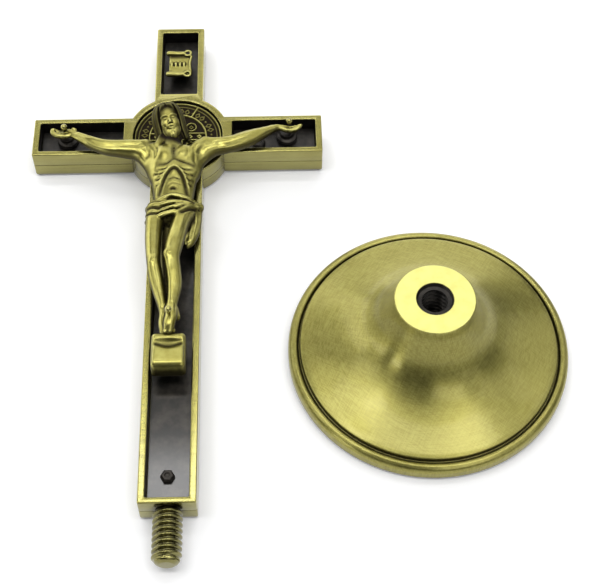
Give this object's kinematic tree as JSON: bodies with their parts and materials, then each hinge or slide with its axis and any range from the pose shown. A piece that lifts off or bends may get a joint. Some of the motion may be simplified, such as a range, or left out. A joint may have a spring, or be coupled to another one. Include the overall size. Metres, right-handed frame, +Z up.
{
  "type": "standing altar cross",
  "caption": "Small altar cross with a cast figure, recessed arms and a threaded stud, unscrewed and lying beside its flared round foot with a threaded boss.",
  "frame": {"origin": "centre of the foot's underside, on the floor", "axes": "+Z up along the foot's axis; the cross lies face up at -X with its top towards +Y and its stud towards -Y"},
  "size_m": [0.1524, 0.1761, 0.0277],
  "materials": {
    "base_shell": "brushed antique brass",
    "base_pad": "thin black felt",
    "cross_frame": "brushed antique brass",
    "cross_back": "brushed antique brass",
    "inlay_top": "dark satin inlay",
    "inlay_left": "dark satin inlay",
    "inlay_right": "dark satin inlay",
    "inlay_lower": "dark satin inlay",
    "medal_disc": "blackened antique brass",
    "scroll_plate": "brushed antique brass",
    "scroll_pin": "blackened antique brass",
    "corpus": "brushed antique brass",
    "hand_nail_left": "blackened antique brass",
    "hand_nail_right": "blackened antique brass",
    "hand_post_left": "blackened antique brass",
    "hand_post_right": "blackened antique brass",
    "foot_nail": "blackened antique brass",
    "footrest": "brushed antique brass",
    "footrest_post": "blackened antique brass",
    "corpus_post": "blackened antique brass",
    "rivet_left": "blackened antique brass",
    "rivet_right": "blackened antique brass",
    "rivet_lower": "blackened antique brass",
    "stud": "brushed antique brass"
  },
  "bodies": {
    "foot": {"base_shell": "base_shell", "base_pad": "base_pad"},
    "cross": {"cross_frame": "cross_frame", "cross_back": "cross_back", "inlay_top": "inlay_top", "inlay_left": "inlay_left", "inlay_right": "inlay_right", "inlay_lower": "inlay_lower", "medal_disc": "medal_disc", "scroll_plate": "scroll_plate", "scroll_pin": "scroll_pin", "corpus": "corpus", "hand_nail_left": "hand_nail_left", "hand_nail_right": "hand_nail_right", "hand_post_left": "hand_post_left", "hand_post_right": "hand_post_right", "foot_nail": "foot_nail", "footrest": "footrest", "footrest_post": "footrest_post", "corpus_post": "corpus_post", "rivet_left": "rivet_left", "rivet_right": "rivet_right", "rivet_lower": "rivet_lower", "stud": "stud"}
  },
  "joints": [
    {"name": "tip_up", "type": "hinge", "parent": "foot", "child": "cross", "pos_m": [-0.06793, -0.06406, 0.0005], "axis": [0.9997, 0.0253, 0], "range_deg": [0, 90]}
  ]
}
